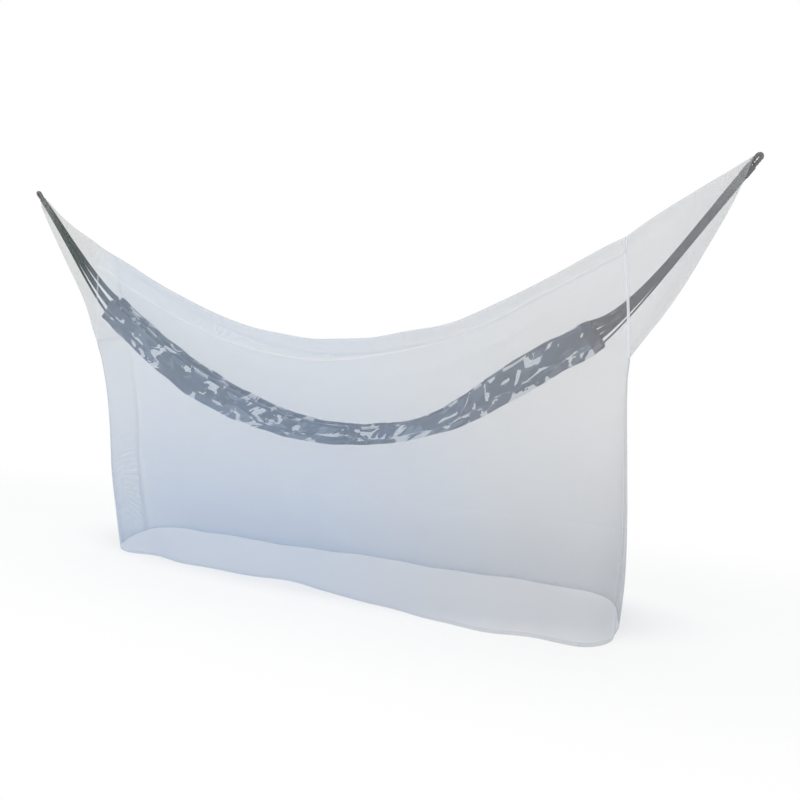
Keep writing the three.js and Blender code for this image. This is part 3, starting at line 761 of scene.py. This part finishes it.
def softPath(path, per):  # a rounded line through the points of a path
    ends = np.concatenate([[2 * path[0] - path[1]], path, [2 * path[-1] - path[-2]]])
    t = np.linspace(0, 1, per, endpoint=False)[:, None]
    pieces = []
    for k in range(len(path) - 1):
        a, b, c, d = ends[k], ends[k + 1], ends[k + 2], ends[k + 3]
        reach = np.linalg.norm(c - b)  # a short bend beside a long run needs slopes of its own length
        leave, arrive = unit(c - a) * reach, unit(d - b) * reach
        square, cube = 3 * (c - b) - 2 * leave - arrive, 2 * (b - c) + leave + arrive
        pieces.append(b + t * leave + t ** 2 * square + t ** 3 * cube)
    return np.concatenate([*pieces, path[-1:]])


def bedWave(name, length, across):
    long, often, seed = bedWaves[name]
    return ripple(length / long, across * often, seed)


def puffOf(high, crease):  # the outermost folds bulge above and below a crease
    over = (high - crease) / (bed["lobe"] - crease)
    lobe = np.where(high > crease, over, (crease - high) / (bed["lobe"] + crease))
    bulge = bed["bulge"] * (1 - (2 * np.clip(lobe, 0, 1) - 1) ** 2)
    return bulge - bed["creaseDepth"] * (1 - lobe) ** bed["creaseSharp"]


def hammockBed():
    path = softPath(foldPath(), bed["acrossSteps"])
    run = distances(path)
    s, share = np.meshgrid(run / run[-1], np.linspace(0, 1, bed["lengthSteps"]), indexing="ij")
    y, high = path[:, :1], path[:, 1:]
    length = bed["length"] * share
    toEnd = np.minimum(share, 1 - share) * bed["length"]
    free = smooth(0, bed["held"], toEnd)
    face, outer = np.sign(y), smooth(*bed["outer"], np.abs(y))
    crease = bed["creaseHeight"] + bed["creaseWander"] * bedWave("crease", length, face)
    uneven = bed["bulgeEven"] + bed["bulgeUneven"] * bedWave("bulge", length, face)
    y = y + face * outer * puffOf(high, crease) * uneven
    y = y + bedWave("sway", length, s) * bed["sway"] * free
    pleat = np.sin(high / pleats["pitch"] + pleats["sway"] * np.sin(length / pleats["every"]))
    y = y + pleat * pleats["size"] * smooth(*pleats["reach"], toEnd)
    endHeight = np.where(share < 0.5, bed["endHeight"]["left"], bed["endHeight"]["right"])
    high = high * (1 + bed["uneven"] * bedWave("height", length, s) * free)
    high = high * lerp(endHeight, 1, smooth(0, bed["endReach"], toEnd))
    x, z, along, up, tall, deep = bedFrame(share)
    long, often, seed = bedWaves["slip"]
    slip = -bed["slip"] * (1 + ripple(s * often, length / long, seed)) * smooth(bed["slipReach"], 0, toEnd)
    slip = slip * np.where(share < 0.5, -1, 1)
    points = stack(x, y * deep, z) + up * (high * tall)[..., None] + along * slip[..., None]
    front = s < (foldRows["y"][1] - foldRows["y"][0]) / (foldRows["y"][-1] - foldRows["y"][0])
    tuck = bed["tuck"] * smooth(crease - bed["tuckEdge"], crease + bed["tuckEdge"], high)
    hidden = np.where(front, tuck, bed["tuck"])
    thickness = bed["thickness"] + bed["hem"] * smooth(*bed["hemEdge"], toEnd)
    # painted light: how far each point is turned to the light, by its side of the crease and its place along
    # the cloth
    upper = smooth(crease - shine["edge"], crease + shine["edge"], high)
    turnedToLight = lerp(smooth(*shine["low"], x), smooth(*shine["high"], x), upper)
    layers = {"endDistance": toEnd, "turnedToLight": turnedToLight}
    obj = sheetMesh("hammockCloth", points, thickness, layers, hidden=hidden)
    return finishPiece(obj, clothMaterial, "camouflage", "hammock_bed")


hammockCloth = hammockBed()
print("hammock cloth made")


# node trees, each with named inputs
def newTree(name, **numbers):
    tree = bpy.data.node_groups.new(name, "GeometryNodeTree")
    face = tree.interface
    face.new_socket("Geometry", in_out="INPUT", socket_type="NodeSocketGeometry")
    for key, kind in numbers.items():
        face.new_socket(key, in_out="INPUT", socket_type="NodeSocket" + kind)
    face.new_socket("Material", in_out="INPUT", socket_type="NodeSocketMaterial")
    face.new_socket("Geometry", in_out="OUTPUT", socket_type="NodeSocketGeometry")
    return tree, tree.nodes.new("NodeGroupInput").outputs


def addNode(tree, kind, **sources):  # each source is another node's output or a fixed value
    node = tree.nodes.new(kind)
    for key, source in sources.items():
        socket = node.inputs[key.replace("_", " ")]
        if isinstance(source, bpy.types.NodeSocket):
            tree.links.new(source, socket)
        else:
            socket.default_value = source
    return node


def closeTree(tree, geometry, material):
    real = addNode(tree, "GeometryNodeRealizeInstances", Geometry=geometry)
    paint = addNode(tree, "GeometryNodeSetMaterial", Geometry=real.outputs[0], Material=material)
    addNode(tree, "NodeGroupOutput", Geometry=paint.outputs[0])
    return tree


def meshByTree(name, source, tree, values):
    modifier = source.modifiers.new("tree", "NODES")
    modifier.node_group = tree
    ids = {item.name: item.identifier for item in tree.interface.items_tree if item.in_out == "INPUT"}
    for key, value in values.items():
        modifier[ids[key]] = value
    depsgraph = bpy.context.evaluated_depsgraph_get()
    mesh = bpy.data.meshes.new_from_object(source.evaluated_get(depsgraph))
    mesh.name = name
    bpy.data.objects.remove(source)
    return addObject(name, mesh)


def curveOf(name, paths, swell=None):
    data = bpy.data.curves.new(name, "CURVE")
    data.dimensions = "3D"
    for path in paths:
        spline = data.splines.new("POLY")
        spline.points.add(len(path) - 1)
        co = np.concatenate([toFrame(path), np.ones((len(path), 1))], 1)
        spline.points.foreach_set("co", co.reshape(-1))
        if swell is not None:
            spline.points.foreach_set("radius", swell[: len(path)])
    return addObject(name, data)


# strands follow paths, and a node tree gives them their round section
strand = {"sides": 6, "cord": 2.4, "rope": 3.9, "whipping": 1.9}  # all but the sides are radii


def strandTree():
    tree, given = newTree("strandSection", Radius="Float", Sides="Int")
    kind = "GeometryNodeCurvePrimitiveCircle"
    section = addNode(tree, kind, Radius=given["Radius"], Resolution=given["Sides"]).outputs["Curve"]
    kind = "GeometryNodeCurveToMesh"
    tube = addNode(tree, kind, Curve=given["Geometry"], Profile_Curve=section, Fill_Caps=True)
    shade = addNode(tree, "GeometryNodeSetShadeSmooth", Geometry=tube.outputs["Mesh"])
    return closeTree(tree, shade.outputs["Geometry"], given["Material"])


strandSection = strandTree()


def strandsOf(name, paths, radius, *nodes, swell=None):
    values = {"Radius": radius * mm, "Sides": strand["sides"], "Material": cordMaterial}
    obj = meshByTree(name, curveOf(name + "Path", paths, swell), strandSection, values)
    return finishPiece(obj, None, "cord", *nodes)


def strandsAround(path, spread, count, turns, phase):
    tangent = unit(np.gradient(path, axis=0))
    across = unit(np.cross(tangent, [0, 1, 0]))
    other = np.cross(across, tangent)
    way = np.linspace(0, 1, len(path))[:, None]
    lines = []
    for k in range(count):
        angle = 2 * math.pi * (k / count + turns * way) + phase
        lines.append(path + (across * np.cos(angle) + other * np.sin(angle)) * np.reshape(spread, (-1, 1)))
    return lines


cordColumns = "depth height radius sag loose strands"
cords = {  # a group's radius grows from eyeRadius at the eye to its row's radius and more at the bed
    "left": {
        "fan": 0.95, "squeeze": 0.8, "reach": 1.24, "eyeRadius": 4.6, "more": 3.4, "early": 0.28,
        "rows": tableOf(cordColumns, [
            (-11, 40, 8, 0, 0, 12), (22, 22, 8, 2, 0, 12), (-22, 3, 8.5, 6, 0, 13), (11, -18, 8, 8, 0, 11),
            (-11, -40, 3, 12, 7, 5)]),
    },
    "right": {
        "fan": 0.5, "squeeze": -0.2, "reach": 1.04, "eyeRadius": 4.2, "more": 2.2, "early": 0.45,
        "rows": tableOf(cordColumns, [
            (-11, 38, 7.5, 0, 0, 8), (22, 21, 8, 4, 0, 9), (-22, 3, 8, 6, 0, 9), (11, -15, 7, 8, 0, 8),
            (0, -33, 2, 14, 24, 3)]),
    },
    "leaveEye": 0.3, "leaveBed": 0.2,  # shares of a cord's length
    "fineSteps": 200, "steps": 56, "boundSpread": 0.9, "leastSpread": 0.8,
    "turns": 0.35, "phase": 0.6, "swell": (-0.5, 0.6),
}


def bedPlace(share, depth, height):
    x, z, _, up, tall, deep = bedFrame(share)
    return np.array([x, depth * deep, z]) + up * height * tall


def cordPath(side, row):
    cord, line, end = cords[side], eyeLine(side), eyes[side]["end"]
    depth, height, radius, sag, loose = (cord["rows"][c][row] for c in cordColumns.split()[:-1])
    share = 0.0 if end < 0 else 1.0
    outOfBed = bedFrame(share)[2] * end
    order = len(cord["rows"]["height"]) // 2 - row  # the middle row meets the middle of the whipping
    top = line["place"](line["joint"] - halfGap, order * rope["cordPitch"])
    start = top - line["outward"] * rope["whipping"] / 2
    stop = bedPlace(share, depth, height * cord["reach"]) + outOfBed * body["seamGap"]
    length = np.linalg.norm(stop - start)
    fan = cord["fan"] * cord["squeeze"]
    sag = sag * cord["squeeze"] + loose
    nearEye = start - line["outward"] * cords["leaveEye"] * length
    nearBed = bedPlace(share, depth * fan, height * fan) + outOfBed * cords["leaveBed"] * length
    nearBed = nearBed - np.array([0, 0, sag])
    t = np.linspace(0, 1, cords["fineSteps"])[:, None]
    bent = (1 - t) ** 3 * start + 3 * t * (1 - t) ** 2 * nearEye
    bent = bent + 3 * t ** 2 * (1 - t) * nearBed + t ** 3 * stop
    far = distances(bent)
    even = np.linspace(0, far[-1], cords["steps"])
    path = np.stack([np.interp(even, far, bent[:, k]) for k in range(3)], 1)
    full = lerp(cord["eyeRadius"], radius + cord["more"], (even / far[-1]) ** cord["early"])
    spread = np.maximum(full - strand["cord"], cords["leastSpread"])
    path, spread = np.concatenate([[top], path]), np.concatenate([[cords["boundSpread"]], spread])
    return path, spread, far[-1] + rope["whipping"] / 2


def clewCords(side):
    paths, lengths = [], {}
    counts = cords[side]["rows"]["strands"].astype(int)
    for row, count in enumerate(counts):
        path, spread, length = cordPath(side, row)
        lengths[f"{side} {row + 1}"] = round(length)
        paths += strandsAround(path, spread, count, cords["turns"], cords["phase"] * row)
    swell = smooth(*cords["swell"], np.linspace(0, 1, len(paths[0])))
    nodes = [f"{side}_clew_cord_{i}" for i in range(1, len(counts) + 1)]
    strandsOf(f"{side}ClewCords", paths, strand["cord"], *nodes, swell=swell)
    return lengths


cordLengths = {**clewCords("left"), **clewCords("right")}
print("clew cords made, lengths in mm", cordLengths)

# the eyes and the whippings that bind them
legSpread = {"fromJoint": 15, "beforeBend": 4, "inside": 1.4}  # where an eye's legs spread, and how far
whipping = {"turns": 13, "turnSteps": 28, "overRope": 4.2, "flat": 3, "short": 4}


def loopPath(side):
    line = eyeLine(side)
    joint, bend = line["joint"], line["bend"]
    legs = np.linspace(joint + halfGap, bend, rope["legSteps"])
    spread = smooth(joint + legSpread["fromJoint"], bend - legSpread["beforeBend"], legs)
    apart = lerp(eyes[side]["pinch"], rope["legs"] - legSpread["inside"], spread)
    angles = np.linspace(0, math.pi, rope["bendSteps"])[1:-1]
    along = np.concatenate([legs, bend + rope["legs"] * np.sin(angles), legs[::-1]])
    up = np.concatenate([apart, apart[-1] * np.cos(angles), -apart[::-1]])
    return line["place"](along, up)


def whippingPath(side):
    line = eyeLine(side)
    t = np.linspace(0, 1, whipping["turns"] * whipping["turnSteps"])
    angle = 2 * math.pi * whipping["turns"] * t
    radius = rope["radius"] + whipping["overRope"]
    cosine = np.cos(angle)
    up = radius * cosine + eyes[side]["pinch"] * np.clip(cosine * whipping["flat"], -1, 1)
    along = line["joint"] + (t - 0.5) * (rope["whipping"] - whipping["short"])
    return line["place"](along, up) + np.multiply.outer(radius * np.sin(angle), np.array([0, 1, 0]))


for side in ("left", "right"):
    path = loopPath(side)
    twisted = strandsAround(path, np.full(len(path), rope["spread"]), rope["strands"], rope["turns"], 0)
    strandsOf(f"{side}EyeRope", twisted, strand["rope"], f"{side}_eye_loop")
    strandsOf(f"{side}Whipping", [whippingPath(side)], strand["whipping"], f"{side}_eye_whipping")
print("eyes and whippings made")

# stitches along the seams and hems, each a short rod that a node tree sets on the line
stitch = {
    "length": 4.2, "pitch": 6.5, "radius": 0.55, "sides": 6, "inset": 3.5, "hem": 20,
    "sideHeight": 1250, "sleeveLength": 600,  # about the height of a side and the length of a sleeve
    "skip": 3, "shareStep": 0.001, "shares": (0.01, 0.004, 140), "endAcross": (0.02, 0.98, 60),
    "roundSteps": 240, "light": color(240, 243, 247), "dark": color(214, 219, 226), "twist": (1400, 1),
}


def stitchTree():
    tree, given = newTree("stitchLine", Pitch="Float", Length="Float", Radius="Float")
    spots = addNode(tree, "GeometryNodeCurveToPoints", Curve=given["Geometry"])
    spots.mode = "LENGTH"  # the node has its length input only from here on
    tree.links.new(given["Pitch"], spots.inputs["Length"])
    thread = addNode(
        tree, "GeometryNodeMeshCylinder", Vertices=stitch["sides"],
        Radius=given["Radius"], Depth=given["Length"])
    place = addNode(
        tree, "GeometryNodeInstanceOnPoints", Points=spots.outputs["Points"],
        Rotation=spots.outputs["Rotation"], Instance=thread.outputs["Mesh"])
    return closeTree(tree, place.outputs["Instances"], given["Material"])


def threadFinish():
    finish = Finish("sewingThread")
    twist = finish.noise(finish.place(), *stitch["twist"])
    shade = finish.blend(twist, stitch["dark"], stitch["light"])
    return finish.close(
        Base_Color=shade, Roughness=0.5 + twist * 0.2,
        Normal=finish.bump(twist, strength=0.4, distance=0.0003))


def middleLine(surface, a, b, wide):  # one line of a surface, from a strip three points wide
    strip = np.array([-1, 0, 1]) * wide
    if np.ndim(b) == 0:
        return surface(*np.meshgrid(a, b + strip, indexing="ij"))[0][:, 1]
    return surface(*np.meshgrid(a + strip, b, indexing="ij"))[0][1]


def stitchLines():
    lines = []
    stations = panelStations()[stitch["skip"]:-stitch["skip"]]
    low, belowElbow, count = stitch["shares"]
    shares = np.linspace(low, body["elbowShare"] - belowElbow, count)
    besideSeam = body["half"] - stitch["inset"]
    roofShare, hemShare = 1 - stitch["inset"] / stitch["sideHeight"], stitch["hem"] / stitch["sideHeight"]
    for side in (-1, 1):
        for share in (roofShare, hemShare):
            lines.append(middleLine(lambda a, b: sideCloth(a, b, side), stations, share, stitch["shareStep"]))
        for station in (-besideSeam, besideSeam):
            lines.append(middleLine(lambda a, b: sideCloth(a, b, side), station, shares, 1))
    for end in (-1, 1):
        across = np.linspace(*stitch["endAcross"])
        lines.append(middleLine(lambda a, b: endCloth(a, b, end), across, hemShare, stitch["shareStep"]))
    wayRound = np.arange(stitch["roundSteps"] + 1) / stitch["roundSteps"]
    for side in ("left", "right"):
        fromSeam = np.full_like(wayRound, stitch["inset"] / stitch["sleeveLength"])
        lines.append(sleevePoint(side, wayRound, fromSeam))
    return lines


def addStitches():
    values = {"Pitch": stitch["pitch"] * mm, "Length": stitch["length"] * mm,
              "Radius": stitch["radius"] * mm, "Material": threadFinish()}
    obj = meshByTree("seamStitches", curveOf("stitchPath", stitchLines()), stitchTree(), values)
    return finishPiece(obj, None, "net")


seamStitches = addStitches()
print("stitches made", len(seamStitches.data.polygons))


def oneSide(mesh):
    return sum(face.area for face in mesh.polygons) / 2


def declare(obj, node, held, *restsOn, withPieces=()):
    flatArea = oneSide(bpy.data.objects[node].data)  # the CAD sheet's, which this mesh has no part in
    areas = round(oneSide(obj.data), 3), round(flatArea, 3)
    print(obj.name, "has", areas[0], "square metres a side, its CAD sheet", areas[1])


declare(netRoof, "net_roof_strip", "hung", netLeftSleeve, netRightSleeve)
declare(netFront, "net_front_panel", "hung", netRoof, withPieces=[seamStitches])
declare(netBack, "net_back_panel", "hung", netRoof)
declare(netLeftEnd, "net_left_end_panel", "hung", netLeftSleeve)
declare(netRightEnd, "net_right_end_panel", "hung", netRightSleeve)
declare(netLeftSleeve, "net_left_sleeve", "gathered", "left_eye_whipping")
declare(netRightSleeve, "net_right_sleeve", "gathered", "right_eye_whipping")
declare(hammockCloth, "hammock_bed", "gathered", "leftClewCords", "rightClewCords")

# floor and light
floorLook = {
    "size": 30, "dark": (0.88, 0.89, 0.9, 1), "light": (0.92, 0.92, 0.92, 1),
    "speck": (3, 2),
    "shadow": (1.42, 0.27), "shadowShift": 0.1,  # half the length and depth of the shadow under the net
    "glow": 0.4, "nearGlow": 0.35, "farGlow": 0.25,  # how self-lit the floor is there, and added outside
    "near": (0.85, 1.35), "far": (1.4, 4),  # in shadow sizes from its middle
}
sky = {"color": (0.95, 0.975, 1, 1), "strength": 0.62}
surroundings = {"Color": (1, 1, 1, 1), "Strength": 1}
lamps = {
    "key": {"place": (-3.2, -3.4, 3.2), "power": 95, "size": 3},
    "fill": {"place": (4, -2.6, 2.4), "power": 40, "size": 3},
    "top": {"place": (0.3, 1.2, 4), "power": 45, "size": 3.5},
}
lampAim = 0.9  # every lamp is turned to this height over the middle


def floorFinish():
    finish = Finish("paleFloor")
    speck = finish.noise(finish.place(), *floorLook["speck"])
    shade = finish.blend(speck, floorLook["dark"], floorLook["light"])
    long, deep = floorLook["shadow"]
    offset = (0, -middle.y / deep - floorLook["shadowShift"], 0)
    under = finish.stretched(finish.place(), (1 / long, 1 / deep, 1), offset)
    away = finish.node("ShaderNodeVectorMath", {"operation": "LENGTH"}, {0: under}, "Value")
    glow = floorLook["glow"] + finish.step(away, *floorLook["near"]) * floorLook["nearGlow"]
    glow = glow + finish.step(away, *floorLook["far"]) * floorLook["farGlow"]
    matt = finish.node("ShaderNodeBsdfPrincipled", None, {
        "Base Color": shade, "Roughness": 0.9, "Specular IOR Level": 0.1})
    lit = finish.node("ShaderNodeEmission", None, surroundings)
    mixed = finish.node("ShaderNodeMixShader", None, {0: finish.seen() * glow, 1: matt, 2: lit})
    finish.node("ShaderNodeOutputMaterial", None, {"Surface": mixed})
    return finish.material


def addFloor():
    mesh, size = bpy.data.meshes.new("floor"), floorLook["size"]
    corners = [(-size, -size, 0), (size, -size, 0), (size, size, 0), (-size, size, 0)]
    mesh.from_pydata(corners, [], [(0, 1, 2, 3)])
    mesh.materials.append(floorFinish())
    floor = addObject("floor", mesh)


def addSky():
    scene.world = bpy.data.worlds.new("sky")
    finish = Finish("sky", scene.world)
    soft = finish.node("ShaderNodeBackground", None, {"Color": sky["color"], "Strength": sky["strength"]})
    shown = finish.node("ShaderNodeBackground", None, surroundings)
    mixed = finish.node("ShaderNodeMixShader", None, {0: finish.seen(), 1: soft, 2: shown})
    finish.node("ShaderNodeOutputWorld", None, {"Surface": mixed})


def addLamp(name, place, power, size):
    data = bpy.data.lights.new(name, "AREA")
    data.energy, data.size, data.shape = power, size, "SQUARE"
    spot = middle + Vector(place)
    aim = middle + Vector((0, 0, lampAim)) - spot
    turn = aim.to_track_quat("-Z", "Y").to_matrix().to_4x4()
    addObject(name, data).matrix_world = Matrix.Translation(spot) @ turn


addFloor()
addSky()
for name, lamp in lamps.items():
    addLamp(name, **lamp)
print("floor and lights made")
